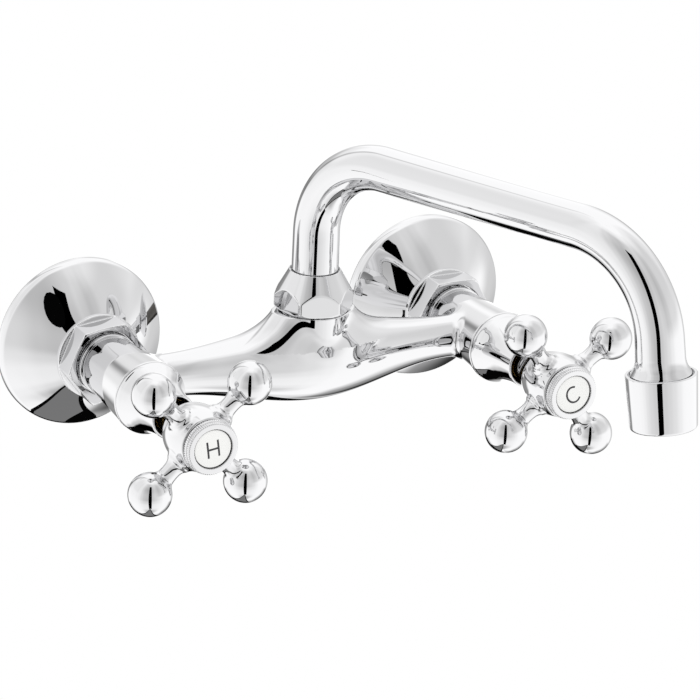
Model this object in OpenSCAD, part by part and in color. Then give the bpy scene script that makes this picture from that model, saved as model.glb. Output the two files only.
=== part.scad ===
// Wall-mounted two-handle basin mixer with a swivel spout.
// Millimetres. The finished wall is the plane y = 0, the mixer stands out of it towards -Y, and Z is up.
// The origin lies on the wall, midway between the two supply tails. Distances "from the wall" count
// outwards, and heights "above the mixer axis" count up from the line through both valves.

/* [Wall connections] */
// Distance between the two supply centres
inlet_centres = 150; // [140:1:160]
// How far the eccentric unions lift the mixer axis above the supply centres
union_offset = 8; // [6:0.5:10]
// Thread diameter of the supply tails, G 1/2
tail_d = 20.96; // [20:0.01:21.5]
// Length of a supply tail inside the wall
tail_length = 28; // [20:1:40]
// Thread diameter of the unions towards the mixer, G 3/4
union_thread_d = 26.44; // [26:0.01:27]
// How far the unions stand out of the wall
union_front = 22; // [20:0.5:26]
// Wall of a supply tail
union_tail_wall = 4; // [3.4:0.1:5]
// Wall of a union towards the mixer
union_front_wall = 4.7; // [4:0.1:5.4]
// Diameter of a wall escutcheon
escutcheon_d = 67; // [60:0.5:75]
// Radius of the rolled lip of an escutcheon
escutcheon_lip = 4.4; // [3:0.2:5.6]
// Thickness of the spun escutcheon sheet
escutcheon_wall = 1.1; // [0.8:0.1:1.5]

/* [Union nuts] */
// Wall of a union nut between its thread and its flats
nut_wall = 1.48; // [1.4:0.02:2.2]
// Length of a union nut
nut_length = 11.5; // [11:0.5:12.5]
// Turn of the hot side nut, as tightened
hot_nut_turn = 7; // [0:1:59]
// Turn of the cold side nut, as tightened
cold_nut_turn = 0; // [0:1:59]

/* [Cast body] */
// Step from the collar that the union nut pulls on down to the barrel
collar_step = 1.42; // [1.2:0.02:1.6]
// Diameter of a barrel at its front face
barrel_front_d = 28.2; // [27.8:0.2:30]
// Distance of the barrel front faces from the wall
barrel_front = 66; // [62:0.5:70]
// Diameter of the arms beside the barrels
arm_d = 16.6; // [15:0.2:18]
// Distance of the arm axis from the wall
arm_stand_off = 47; // [46:0.5:49]
// Diameter of the body under the spout
yoke_d = 31.4; // [30:0.2:34]
// Distance of the spout axis from the wall
spout_stand_off = 50.5; // [48:0.5:53]

/* [Spout] */
// Outside diameter of the spout tube
spout_d = 18; // [17.5:0.5:18.5]
// Wall of the spout tube
spout_wall = 1.25; // [1:0.05:1.6]
// Height of the riser above the mixer axis
riser_height = 51.5; // [45:0.5:60]
// Centre line radius of the upper bend
first_bend = 31.5; // [24:0.5:36]
// Length of the straight run
run_length = 89.5; // [60:0.5:110]
// Centre line radius of the outlet bend
second_bend = 38; // [28:0.5:42]
// Outward lean of the outlet, in degrees
outlet_lean = 8; // [2:0.5:14]
// Straight length between the outlet bend and the aerator
outlet_drop = 12.5; // [9:0.5:20]
// Swing of the spout to the right of straight out, as photographed, in degrees
spout_turn = 22.9; // [-90:0.1:90]
// Size across the flats of the spout nut
spout_nut_flats = 27; // [26.6:0.2:28]
// Height of the spout nut
spout_nut_height = 16; // [15:0.5:18]
// Turn of the spout nut, as tightened
spout_nut_turn = 43.5; // [0:0.5:59]

/* [Aerator] */
// Diameter of the aerator housing at its top rim
aerator_top_d = 26; // [25.6:0.2:28]
// How much the radius of the aerator housing tapers down to its mouth
aerator_taper = 0.8; // [0:0.1:0.9]
// Wall of the aerator housing under its top rim
aerator_wall = 1.72; // [1.6:0.02:2]
// Length of the aerator housing
aerator_length = 20; // [18:0.5:24]

/* [Valves and shrouds] */
// Diameter of the shroud at its fullest
shroud_d = 28.2; // [28:0.2:30]
// Diameter of the shroud at its open front
shroud_mouth_d = 17.4; // [17:0.2:20]
// Length of a shroud
shroud_length = 21.3; // [20:0.1:23]
// Thread diameter of the headworks, G 1/2
headwork_thread_d = 20.96; // [20.6:0.01:21]
// Diameter of the ceramic discs
disc_d = 15.1; // [14.5:0.1:15.2]
// Quarter turn stem diameter
stem_d = 9.8; // [9:0.1:10.2]

/* [Cross handles] */
// Distance of the ball centres from the wall
handle_plane = 109.7; // [108:0.1:114]
// Radius of the circle of ball centres
ball_circle_r = 27; // [25:0.5:32]
// Diameter of the balls
ball_d = 16.4; // [14:0.2:18]
// Diameter of an arm at its waist
waist_d = 6.6; // [5.6:0.2:7.6]
// Diameter of the hub at its belly
hub_d = 24; // [23:0.2:26]
// Diameter of the knurled index ring
index_ring_d = 20.4; // [19.6:0.2:21.6]
// Diameter of the index disc
index_disc_d = 14.9; // [13.5:0.1:15.5]
// Ridges round the index ring
knurl_count = 72; // [40:1:90]
// Turn of the hot handle as photographed, in degrees
hot_handle_turn = -0.6; // [-45:0.1:45]
// Turn of the cold handle as photographed, in degrees
cold_handle_turn = -9.1; // [-45:0.1:45]

/* [Hidden] */
$fn = 96;
hot = -1;
cold = 1;

// Colours
chrome = [0.84, 0.85, 0.87];
brass = [0.80, 0.66, 0.36];
ceramic = [0.93, 0.92, 0.88];
black_rubber = [0.10, 0.10, 0.11];
grey_fibre = [0.42, 0.44, 0.45];
acetal = [0.92, 0.92, 0.90];

// Clearances, and the overrun that every cut has
running_gap = 0.08;
thread_gap = 0.05;
slide_gap = 0.15;
seat_gap = 0.3;
lapped_gap = 0.04;
cut = 1;
half_corner = 30;
quarter = 90;
cross_start = 45;
facets_round = 36;

// Union: the tail's thread ends at the wall, and a plain neck runs from it into the larger front thread
union_back = 2;
union_overlap = 8;
union_floor = 1.6;
union_neck_step = 0.5;
union_neck_d = tail_d - 2 * union_neck_step;
union_bore = tail_d - 2 * union_tail_wall;
union_front_bore = union_thread_d - 2 * union_front_wall;

// Union nut: collar of the body, lip that holds it, recess in the front face
washer_t = 2;
collar_t = 2.2;
collar_d = union_thread_d - 2 * seat_gap;
barrel_tail_d = collar_d - 2 * collar_step;
nut_flats = union_thread_d + 2 * nut_wall;
nut_lip_t = 1.5;
nut_recess_t = 1.5;
nut_recess_margin = 1.1;
nut_recess_d = nut_flats - 2 * nut_recess_margin;
nut_flange_t = 2;
body_back = union_front + washer_t;
nut_lip_back = body_back + collar_t + seat_gap;
nut_front = nut_lip_back + nut_lip_t + nut_recess_t;
nut_back = nut_front - nut_length;
nut_corner_d = nut_flats / cos(half_corner);
nut_lip_gap = 0.4;
nut_lip_bore = barrel_tail_d + 2 * nut_lip_gap;
nut_flange_step = 0.1;
nut_flange_d = nut_corner_d - 2 * nut_flange_step;

// Escutcheon: its neck slides on the union thread and its front stops behind the nut
escutcheon_front = nut_back - 2 * seat_gap;
escutcheon_neck_d = union_thread_d + 2 * slide_gap;
escutcheon_edge = 0.6;
escutcheon_crown = 1.4;
crown_lean_share = 0.35;
escutcheon_shoulder = 2.2;

// Valve chamber inside each barrel, measured from the wall
inlet_bore = 14;
inlet_depth = 13;
seat_depth = body_back + inlet_depth;
seal_t = 2.4;
chamber_d = 19.4;
chamber_length = 16.5;
chamber_front = seat_depth + chamber_length;
body_thread_bore = headwork_thread_d + 2 * thread_gap;
gasket_t = 0.8;
flange_t = 1.6;
headwork_hex = 17;
hex_t = 4.6;
flange_d = 23.8;
nose_d = 18.8;
disc_gap = 0.1;
nose_bore = disc_d + 2 * disc_gap;
seal_land = 2;
seal_bore = disc_d - 2 * seal_land;
nose_back = seat_depth + seal_t;
disc_t = 2.9;
moving_back = nose_back + disc_t + lapped_gap;
moving_front = moving_back + disc_t;
foot_t = 3.2;
foot_front = moving_front + lapped_gap + foot_t;
window_t = 6;
window_w = 9;
flange_back = barrel_front + gasket_t;
hex_back = flange_back + flange_t;
hex_front = hex_back + hex_t;
neck_d = 13;
neck_length = 12.6;
neck_front = hex_front + neck_length;
key_w = 3;
key_l = 9;
key_t = 1.2;
port_inner = 1.6;
port_rim = 1.4;
port_half = 38;

// Spindle: plain stem, O-ring groove and toothed end for the handle
groove_w = 2.3;
groove_depth = 1.2;
groove_setback = 8;
groove_back = neck_front - groove_setback;
spline_d = 8;
spline_depth = 0.45;
spline_count = 20;
spline_setback = 0.1;
spline_front = handle_plane - spline_setback;
screw_d = 4;
screw_hole_depth = 13;
screw_head_d = 8;
screw_head_t = 2.4;

// Shroud: shares of its length and of its radius, its web rests on the headwork hex
shroud_gap = 0.2;
shroud_back = barrel_front + shroud_gap;
shroud_wall = 1;
web_t = 1.4;
shroud_front = shroud_back + shroud_length;

// Handle hub: a bell from its neck to the belly and round to the ring seat
hub_gap = 1.2;
hub_back = neck_front + hub_gap;
hub_nose = 7.4;
hub_front = handle_plane + hub_nose;
hub_neck_d = 13.4;
hub_web_t = 1.2;
hub_web_gap = 0.2;
hub_web_back = spline_front + hub_web_gap;
hub_recess_d = 17.4;
root_d = 9.4;
root_reach = 2.4;

// Index ring and disc
ring_gap = 0.1;
knurl_t = 2.5;
knurl_depth = 0.22;
ring_height = 3.9;
ring_front = hub_front + ring_gap + ring_height;
ring_floor_t = 1.4;
ring_depth = 1.9;
ring_floor = ring_front - ring_depth;
spigot_t = 3.4;
spigot_wall = 1.2;
ring_round = 1.1;
cap_r = index_ring_d / 2 - 2 * knurl_depth;
disc_crown = 0.35;
disc_edge_t = 1.35;

// Spout seat in the body, as heights above the mixer axis
nut_seat = 20.5;
column_d = 24.4;
column_height = 6;
column_wall = 1.4;
column_top = nut_seat + column_height;
socket_floor = 5;
socket_d = spout_d + 2 * running_gap;
pocket_d = column_d - 2 * column_wall;
pocket_depth = 5;
pocket_floor = column_top - pocket_depth;
slip_t = 1;
bearing_gap = 0.1;
collar_back = pocket_floor + slip_t + bearing_gap;
spout_collar_t = 3;
collar_front = collar_back + spout_collar_t;
spout_collar_d = pocket_d - 2 * seat_gap;
bush_flange_t = 2.8;
bush_back = collar_front + bearing_gap;
bush_flange_back = column_top + bearing_gap;
bush_front = bush_flange_back + bush_flange_t;
tail_gap = 1;
tail_end = socket_floor + tail_gap;
spout_tail_bore = 12.6;
passage_d = 9;
neck_top_d = spout_nut_flats;
neck_reach_share = 0.6;
neck_reach = neck_reach_share * inlet_centres / 2;
neck_core_share = [0.8, 0.75];
neck_depth_share = 0.93;
neck_sink = 0.4;
neck_rim_pull = 3.5;
neck_foot_pull = 6;
neck_pull_share = 0.2;
yoke_blend_share = 0.8;
yoke_blend = yoke_blend_share * inlet_centres / 2;
root_flare = 1.6;
root_flare_length = 9;

// Spout nut: cone from the tube to the corners, a short cylinder and a chamfer under it
spout_nut_top = nut_seat + spout_nut_height;
spout_nut_corner_d = spout_nut_flats / cos(half_corner);
spout_nut_easing = 0.3;
spout_nut_round_d = spout_nut_corner_d - 2 * spout_nut_easing;
spout_nut_shoulder = 5.9;
spout_nut_chamfer = 1.6;
spout_nut_rim = 0.3;
spout_nut_top_d = spout_d + 2 * spout_nut_rim;

// O-rings of the spout
spout_groove_w = 2.2;
spout_groove_depth = 1.4;
spout_groove_d = spout_d - 2 * spout_groove_depth;
groove_land = 2.4;
groove_pitch = 5;
lower_groove = tail_end + groove_land;
upper_groove = lower_groove + groove_pitch;

// Outlet: nozzle on the tube, housing, washer and insert, measured down from the housing rim
aerator_mouth_d = aerator_top_d - 2 * aerator_taper;
nozzle_d = aerator_top_d - 2 * aerator_wall - 2 * running_gap;
tube_step = 0.15;
nozzle_flare = 5.5;
nozzle_end = 7;
rim_recess = 1.6;
housing_bore = nozzle_d + 2 * running_gap;
rim_land = 1.1;
rim_bore = aerator_top_d - 2 * rim_land;
mouth_lip_t = 1.5;
mouth_lip_w = 1.1;
mouth_bore = housing_bore - 2 * mouth_lip_w;
aerator_round = 0.8;
aerator_washer_t = 1.8;
insert_gap = 0.1;
insert_top = nozzle_end + aerator_washer_t + 2 * insert_gap;
insert_bottom = aerator_length - mouth_lip_t - insert_gap;
insert_d = housing_bore - 2 * insert_gap;
jet_d = 2.2;
jet_rows = 2;
jet_margin = 4;
jet_pitch = (insert_d / 2 - jet_margin) / jet_rows;

// Places in the world

module along_barrel(side)
  translate([side * inlet_centres / 2, 0, union_offset]) rotate([quarter, 0, 0]) children();

module at_spout() translate([0, -spout_stand_off, union_offset]) children();

module in_spout_plane() at_spout() rotate([0, 0, spout_turn - quarter]) children();

outlet_x = first_bend + run_length + second_bend * cos(outlet_lean) + outlet_drop * sin(outlet_lean);
outlet_z = riser_height + first_bend - second_bend * (1 - sin(outlet_lean)) - outlet_drop * cos(outlet_lean);

module at_outlet()
  in_spout_plane() translate([outlet_x, 0, outlet_z]) rotate([0, 2 * quarter - outlet_lean, 0]) children();

// Shared forms

function arc_points(centre, r, from, to, steps) =
  [for (i = [0:steps]) let (a = from + (to - from) * i / steps) centre + r * [cos(a), sin(a)]];

function toothed_ring(count, outer, inner) =
  [for (i = [0:2 * count - 1]) let (a = i * 2 * quarter / count, r = i % 2 == 0 ? outer : inner)
    r * [cos(a), sin(a)]];

module tube_between(back, front, outer_d, inner_d)
  translate([0, 0, back]) difference() {
    cylinder(d = outer_d, h = front - back);
    translate([0, 0, -cut]) cylinder(d = inner_d, h = front - back + 2 * cut);
  }

module bore_between(back, front, d) translate([0, 0, back]) cylinder(d = d, h = front - back);

module o_ring(floor_d, wall_d, centre)
  translate([0, 0, centre]) rotate_extrude()
    translate([(floor_d + wall_d) / 4, 0]) circle(d = (wall_d - floor_d) / 2, $fn = 32);

// Closed skin through a list of rings that all have the same number of points
module skin(rings) {
  n = len(rings[0]);
  last = len(rings) - 1;
  sides = [for (k = [0:last - 1], i = [0:n - 1]) let (j = (i + 1) % n)
    [(k + 1) * n + i, (k + 1) * n + j, k * n + j, k * n + i]];
  polyhedron(points = [for (ring = rings, p = ring) p],
    faces = concat([[for (i = [0:n - 1]) i]], sides, [[for (i = [0:n - 1]) last * n + n - 1 - i]]));
}

// Wall connections

module wall_union(side)
  color(brass) along_barrel(side) difference() {
    union() {
      bore_between(union_back, union_front, union_thread_d);
      translate([0, -union_offset, 0]) {
        bore_between(-tail_length, 0, tail_d);
        bore_between(-cut, union_back + union_overlap, union_neck_d);
      }
    }
    bore_between(union_back + 2 * union_floor, union_front + cut, union_front_bore);
    translate([0, -union_offset, 0])
      bore_between(-tail_length - cut, union_back + union_overlap - union_floor, union_bore);
  }

// Half outline of the escutcheon, from the wall over the lip and the dome to the neck
function escutcheon_outline(off) =
  let (rim = escutcheon_d / 2 - off,
       lip = escutcheon_lip - off,
       foot = [rim - lip, escutcheon_edge + lip],
       crest = [escutcheon_neck_d / 2 + escutcheon_shoulder, escutcheon_front - off])
    concat([[rim, 0]],
      arc_points([rim - lip, escutcheon_edge], lip, 0, quarter, 8),
      [for (i = [1:9]) let (t = i / 10)
        foot + t * (crest - foot) + escutcheon_crown * sin(2 * quarter * t) * [crown_lean_share, 1]],
      [crest]);

module escutcheon(side)
  color(chrome) along_barrel(side) rotate_extrude() polygon(concat(
    escutcheon_outline(0),
    [[escutcheon_neck_d / 2, escutcheon_front],
      [escutcheon_neck_d / 2, escutcheon_front - 2 * escutcheon_wall]],
    [for (i = [len(escutcheon_outline(0)) - 1:-1:0]) escutcheon_outline(escutcheon_wall)[i]]));

module union_nut(side, turn)
  color(chrome) along_barrel(side) difference() {
    union() {
      rotate([0, 0, turn]) bore_between_hex(nut_back + cut, nut_front, nut_corner_d);
      translate([0, 0, nut_back]) cylinder(d = nut_flange_d, h = nut_flange_t);
    }
    bore_between(nut_back - cut, nut_lip_back, union_thread_d + 2 * thread_gap);
    bore_between(nut_back, nut_front + cut, nut_lip_bore);
    bore_between(nut_front - nut_recess_t, nut_front + cut, nut_recess_d);
  }

module bore_between_hex(back, front, corner_d)
  translate([0, 0, back]) cylinder(d = corner_d, h = front - back, $fn = 6);

module inlet_washer(side)
  color(black_rubber) along_barrel(side)
    tube_between(union_front, body_back, union_thread_d - 2 * thread_gap, union_front_bore);

// Cast body: two flared barrels, a yoke that swells towards the spout, and its neck

module barrel(side) {
  steps = 12;
  flare_back = body_back + collar_t;
  r_tail = barrel_tail_d / 2;
  r_front = barrel_front_d / 2;
  flare_front = barrel_front - escutcheon_edge;
  flare = [for (i = [0:steps]) let (t = i / steps)
    [r_tail + (r_front - r_tail) * pow(t, 1.25), flare_back + (flare_front - flare_back) * t]];
  along_barrel(side) rotate_extrude() polygon(concat(
    [[0, body_back], [collar_d / 2, body_back], [collar_d / 2, flare_back]], flare,
    [[r_front - escutcheon_edge, barrel_front], [0, barrel_front]]));
}

function swell(x) = (1 + cos(2 * quarter * min(1, abs(x) / yoke_blend))) / 2;
function root(x) = pow(max(0, (abs(x) - inlet_centres / 2 + barrel_tail_d / 2 + root_flare_length)
  / root_flare_length), 2);
function yoke_r(x) = arm_d / 2 + (yoke_d - arm_d) / 2 * swell(x) + root_flare * min(1, root(x));
function yoke_y(x) = -arm_stand_off - (spout_stand_off - arm_stand_off) * swell(x);

module yoke() {
  steps = 28;
  skin([for (k = [0:steps]) let (x = (k / steps - 1 / 2) * inlet_centres)
    [for (i = [0:facets_round - 1]) let (a = i * 4 * quarter / facets_round)
      [x, yoke_y(x) + yoke_r(x) * cos(a), union_offset + yoke_r(x) * sin(a)]]]);
}

function blend(a, b, c, d, t) =
  pow(1 - t, 3) * a + 3 * pow(1 - t, 2) * t * b + 3 * (1 - t) * t * t * c + t * t * t * d;

// One point of the neck: on its rim under the nut at t = 0, on the back of the yoke at t = 1
function neck_point(a, t) =
  let (x = neck_reach * cos(a),
       r = yoke_r(x),
       y = neck_depth_share * r * sin(a),
       z = sqrt(r * r - y * y) - neck_sink,
       rim = neck_top_d / 2 * [cos(a), sin(a), 0],
       foot = [x, y, 0])
    blend(rim + [0, 0, nut_seat], rim + [0, 0, nut_seat - neck_rim_pull],
      rim + neck_pull_share * (foot - rim) + [0, 0, z + neck_foot_pull], foot + [0, 0, z], t);

// The neck is round under the spout nut and runs out along both arms
module neck() {
  steps = 10;
  at_spout() skin(concat(
    [[for (i = [0:facets_round - 1]) let (a = i * 4 * quarter / facets_round)
      [neck_core_share[0] * neck_reach * cos(a), neck_core_share[1] * yoke_r(0) * sin(a), neck_sink]]],
    [for (k = [0:steps]) [for (i = [0:facets_round - 1])
      neck_point(i * 4 * quarter / facets_round, 1 - k / steps)]]));
}

module valve_bores(side)
  along_barrel(side) {
    bore_between(body_back - cut, seat_depth + cut, inlet_bore);
    bore_between(seat_depth, chamber_front + cut, chamber_d);
    bore_between(chamber_front, barrel_front + cut, body_thread_bore);
  }

module mixer_body()
  color(chrome) difference() {
    union() {
      barrel(hot);
      barrel(cold);
      yoke();
      neck();
      at_spout() bore_between(nut_seat - cut, column_top, column_d);
    }
    valve_bores(hot);
    valve_bores(cold);
    translate([-inlet_centres / 2, -arm_stand_off, union_offset]) rotate([0, quarter, 0])
      cylinder(d = passage_d, h = inlet_centres);
    at_spout() {
      bore_between(-passage_d / 2, socket_floor + cut, spout_tail_bore);
      bore_between(socket_floor, pocket_floor + cut, socket_d);
      bore_between(pocket_floor, column_top + cut, pocket_d);
    }
  }

// Valves: ceramic discs in a brass headwork, turned by the spindle

module seat_seal(side)
  color(black_rubber) along_barrel(side)
    tube_between(seat_depth, nose_back, nose_d - 2 * slide_gap, seal_bore);

// Two opposite ports of a ceramic disc
module ports(back, front)
  for (turn = [0, 2 * quarter])
    rotate([0, 0, turn]) intersection() {
      tube_between(back - cut, front + cut, disc_d - 2 * port_rim, 2 * port_inner);
      translate([0, 0, back - cut]) linear_extrude(front - back + 2 * cut)
        polygon([[0, 0], disc_d * [cos(port_half), -sin(port_half)],
          disc_d * [cos(port_half), sin(port_half)]]);
    }

module fixed_disc(side)
  color(ceramic) along_barrel(side) difference() {
    bore_between(nose_back, nose_back + disc_t, disc_d);
    rotate([0, 0, quarter]) ports(nose_back, nose_back + disc_t);
  }

module moving_disc(side, turn)
  color(ceramic) along_barrel(side) rotate([0, 0, turn]) difference() {
    bore_between(moving_back, moving_front, disc_d - 2 * running_gap);
    ports(moving_back, moving_front);
    translate([0, 0, moving_front - key_t / 2])
      cube([key_w + 2 * slide_gap, key_l + 2 * slide_gap, key_t + 2 * lapped_gap], center = true);
  }

module headwork(side)
  color(brass) along_barrel(side) difference() {
    union() {
      bore_between(nose_back, chamber_front + cut, nose_d);
      bore_between(chamber_front + seat_gap, flange_back + cut, headwork_thread_d);
      bore_between(flange_back, hex_back, flange_d);
      bore_between_hex(hex_back, hex_front, headwork_hex / cos(half_corner));
      bore_between(hex_front - cut, neck_front, neck_d);
    }
    bore_between(nose_back - cut, foot_front + seat_gap, nose_bore);
    bore_between(foot_front, neck_front + cut, stem_d + 2 * running_gap);
    translate([0, 0, moving_back + window_t / 2 + seat_gap])
      cube([2 * nose_d, window_w, window_t], center = true);
  }

module headwork_gasket(side)
  color(grey_fibre) along_barrel(side)
    tube_between(barrel_front, flange_back, flange_d, body_thread_bore);

module spindle(side, turn)
  color(brass) along_barrel(side) rotate([0, 0, turn]) difference() {
    union() {
      translate([0, 0, moving_front - key_t / 2 + cut / 2])
        cube([key_w, key_l, key_t + cut - 2 * lapped_gap], center = true);
      bore_between(moving_front + lapped_gap, foot_front, disc_d - 2 * seat_gap);
      bore_between(foot_front - cut, groove_back, stem_d);
      bore_between(groove_back - cut, groove_back + groove_w + cut, stem_d - 2 * groove_depth);
      bore_between(groove_back + groove_w, hub_back - seat_gap, stem_d);
      translate([0, 0, hub_back - cut]) linear_extrude(spline_front - hub_back + cut)
        polygon(toothed_ring(spline_count, spline_d / 2, spline_d / 2 - spline_depth));
    }
    bore_between(spline_front - screw_hole_depth, spline_front + cut, screw_d + 2 * thread_gap);
  }

module spindle_o_ring(side)
  color(black_rubber) along_barrel(side)
    o_ring(stem_d - 2 * groove_depth, stem_d + running_gap, groove_back + groove_w / 2);

// Bell shroud: shares of its length, and of the step from its mouth to its fullest radius
shroud_outline_shares = [[0, 0.98], [0.03, 1], [0.06, 0.95], [0.1, 0.88], [0.155, 0.78], [0.21, 0.65],
  [0.27, 0.54], [0.34, 0.44], [0.41, 0.355], [0.5, 0.27], [0.6, 0.2], [0.7, 0.135], [0.79, 0.075],
  [0.9, 0.02], [0.97, 0]];
web_share = (hex_front + web_t / 2 - shroud_back) / shroud_length;
web_r = shroud_mouth_d / 2 + (shroud_d - shroud_mouth_d) / 2 * lookup(web_share, shroud_outline_shares)
  - shroud_wall / 2;

function shroud_points(off) = [for (s = shroud_outline_shares)
  [shroud_mouth_d / 2 + (shroud_d - shroud_mouth_d) / 2 * s[1] - off, shroud_back + shroud_length * s[0]]];

module shroud(side)
  color(chrome) along_barrel(side) {
    outer = shroud_points(0);
    inner = shroud_points(shroud_wall);
    rotate_extrude() polygon(concat(outer,
      [[shroud_mouth_d / 2 - shroud_wall / 2, shroud_front]],
      [for (i = [len(inner) - 1:-1:0]) inner[i]]));
    tube_between(hex_front, hex_front + web_t, 2 * web_r, neck_d + 2 * slide_gap);
  }

// Cross handle: bell hub, four waisted arms and their balls

hub_outline_shares = [[0, 0], [0.1, 0.06], [0.22, 0.22], [0.34, 0.48], [0.45, 0.74], [0.56, 0.92],
  [0.67, 1], [0.78, 1], [0.88, 0.93], [0.96, 0.8], [1, 0.68]];

module hub()
  rotate_extrude() polygon(concat([[0, hub_back]],
    [for (s = hub_outline_shares)
      [hub_neck_d / 2 + (hub_d - hub_neck_d) / 2 * s[1], hub_back + (hub_front - hub_back) * s[0]]],
    [[0, hub_front]]));

// Arm along +Z of its own frame, from inside the hub to the ball
module handle_arm() {
  root_z = hub_d / 2 - root_reach / 2;
  ball_z = ball_circle_r - sqrt(pow(ball_d / 2, 2) - pow(waist_d / 2, 2));
  steps = 10;
  rotate_extrude() polygon(concat(
    [[0, hub_d / 4], [root_d / 2, hub_d / 4]],
    [for (i = [0:steps]) let (t = i / steps)
      [waist_d / 2 + (root_d - waist_d) / 2 * pow(1 - t, 2.4) + root_reach / 5 * pow(t, 4),
       root_z + (ball_z + root_reach / 3 - root_z) * t]],
    [[0, ball_z + root_reach / 3 + cut]]));
}

module cross_handle(side, turn)
  color(chrome) along_barrel(side) rotate([0, 0, turn]) difference() {
    union() {
      hub();
      for (k = [0:3])
        translate([0, 0, handle_plane]) rotate([0, 0, cross_start + quarter * k]) {
          rotate([0, quarter, 0]) handle_arm();
          translate([ball_circle_r, 0, 0]) sphere(d = ball_d);
        }
    }
    translate([0, 0, hub_back - cut]) linear_extrude(hub_web_back - hub_back + cut)
      polygon(toothed_ring(spline_count, spline_d / 2 + thread_gap,
        spline_d / 2 - spline_depth + thread_gap));
    bore_between(hub_web_back - cut, hub_front + cut, screw_d + 2 * slide_gap);
    bore_between(hub_web_back + hub_web_t, hub_front + cut, hub_recess_d);
  }

module handle_screw(side)
  color(brass) along_barrel(side) difference() {
    union() {
      bore_between(spline_front - screw_hole_depth + 2 * slide_gap, hub_web_back + hub_web_t + cut, screw_d);
      bore_between(hub_web_back + hub_web_t, hub_web_back + hub_web_t + screw_head_t, screw_head_d);
    }
    translate([0, 0, hub_web_back + hub_web_t + screw_head_t])
      cube([screw_head_d + cut, screw_head_t / 3, screw_head_t], center = true);
  }

module index_ring(side, turn)
  color(chrome) along_barrel(side) rotate([0, 0, turn]) difference() {
    union() {
      bore_between(hub_front - spigot_t, hub_front + 2 * ring_gap, hub_recess_d - 2 * thread_gap);
      translate([0, 0, hub_front + ring_gap]) linear_extrude(knurl_t)
        polygon(toothed_ring(knurl_count, index_ring_d / 2, index_ring_d / 2 - knurl_depth));
      rotate_extrude() polygon(concat([[0, hub_front + 2 * ring_gap], [cap_r, hub_front + 2 * ring_gap]],
        arc_points([cap_r - ring_round, ring_front - ring_round], ring_round, 0, quarter, 5),
        [[0, ring_front]]));
    }
    bore_between(ring_floor, ring_front + cut, index_disc_d + 2 * thread_gap);
    bore_between(hub_front - spigot_t - cut, ring_floor - ring_floor_t,
      hub_recess_d - 2 * thread_gap - 2 * spigot_wall);
  }

module index_disc(side)
  color(ceramic) along_barrel(side) rotate_extrude() polygon([[0, ring_floor],
    [index_disc_d / 2, ring_floor],
    [index_disc_d / 2, ring_floor + disc_edge_t],
    [index_disc_d / 4, ring_floor + disc_edge_t + 0.8 * disc_crown],
    [0, ring_floor + disc_edge_t + disc_crown]]);

// Spout and its bearing in the body

module spout_nut()
  color(chrome) at_spout() difference() {
    intersection() {
      translate([0, 0, nut_seat]) rotate([0, 0, spout_nut_turn])
        cylinder(d = spout_nut_corner_d, h = spout_nut_height, $fn = 6);
      rotate_extrude() polygon([[0, nut_seat], [spout_nut_flats / 2, nut_seat],
        [spout_nut_round_d / 2, nut_seat + spout_nut_chamfer],
        [spout_nut_round_d / 2, nut_seat + spout_nut_shoulder],
        [spout_nut_top_d / 2, spout_nut_top - running_gap],
        [spout_nut_top_d / 2 - running_gap, spout_nut_top],
        [0, spout_nut_top]]);
    }
    bore_between(nut_seat - cut, bush_front, column_d + 2 * thread_gap);
    bore_between(bush_front - cut, spout_nut_top + cut, spout_d + 2 * running_gap);
  }

module spout_slip_washer()
  color(acetal) at_spout() tube_between(pocket_floor, pocket_floor + slip_t, spout_collar_d, socket_d);

module spout_bush()
  color(acetal) at_spout() difference() {
    union() {
      bore_between(bush_back, bush_flange_back + cut, spout_collar_d);
      bore_between(bush_flange_back, bush_front, column_d - 2 * slide_gap);
    }
    bore_between(bush_back - cut, bush_front + cut, socket_d);
  }

// Centre line of the spout, filled with the given diameter, from the tail to a length after the last bend
module spout_run(d, back, drop) {
  bore_between(back, riser_height, d);
  translate([first_bend, 0, riser_height]) rotate([quarter, 0, 0])
    rotate_extrude(angle = quarter, start = quarter) translate([first_bend, 0]) circle(d = d);
  translate([first_bend, 0, riser_height + first_bend]) rotate([0, quarter, 0])
    cylinder(d = d, h = run_length);
  translate([first_bend + run_length, 0, riser_height + first_bend - second_bend]) rotate([quarter, 0, 0]) {
    rotate_extrude(angle = quarter - outlet_lean, start = outlet_lean)
      translate([second_bend, 0]) circle(d = d);
    rotate([0, 0, outlet_lean]) translate([second_bend, cut, 0]) rotate([quarter, 0, 0])
      cylinder(d = d + 2 * tube_step, h = drop + cut);
  }
}

// Flare round the end of the tube, and the threaded nozzle under it
module nozzle() {
  steps = 6;
  r = spout_d / 2 + 2 * tube_step;
  rotate_extrude() polygon(concat([[0, -nozzle_flare]],
    [for (i = [0:steps]) let (t = i / steps)
      [r + (nozzle_d / 2 - r) * pow(t, 2.2), -nozzle_flare * (1 - t)]],
    [[nozzle_d / 2, nozzle_end], [0, nozzle_end]]));
}

module spout() {
  bore_d = spout_d - 2 * spout_wall;
  color(chrome) difference() {
    union() {
      in_spout_plane() {
        spout_run(spout_d, tail_end, outlet_drop + nozzle_end - cut);
        bore_between(collar_back, collar_front, spout_collar_d);
      }
      at_outlet() nozzle();
    }
    in_spout_plane() {
      spout_run(bore_d, pocket_floor, outlet_drop + nozzle_end + cut);
      bore_between(tail_end - cut, pocket_floor + cut, spout_tail_bore);
      for (back = [lower_groove, upper_groove])
        tube_between(back, back + spout_groove_w, spout_d + 2 * cut, spout_groove_d);
    }
  }
}

module spout_o_rings()
  color(black_rubber) in_spout_plane()
    for (back = [lower_groove, upper_groove])
      o_ring(spout_groove_d, spout_d + running_gap, back + spout_groove_w / 2);

// Aerator, from its rim down

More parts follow.
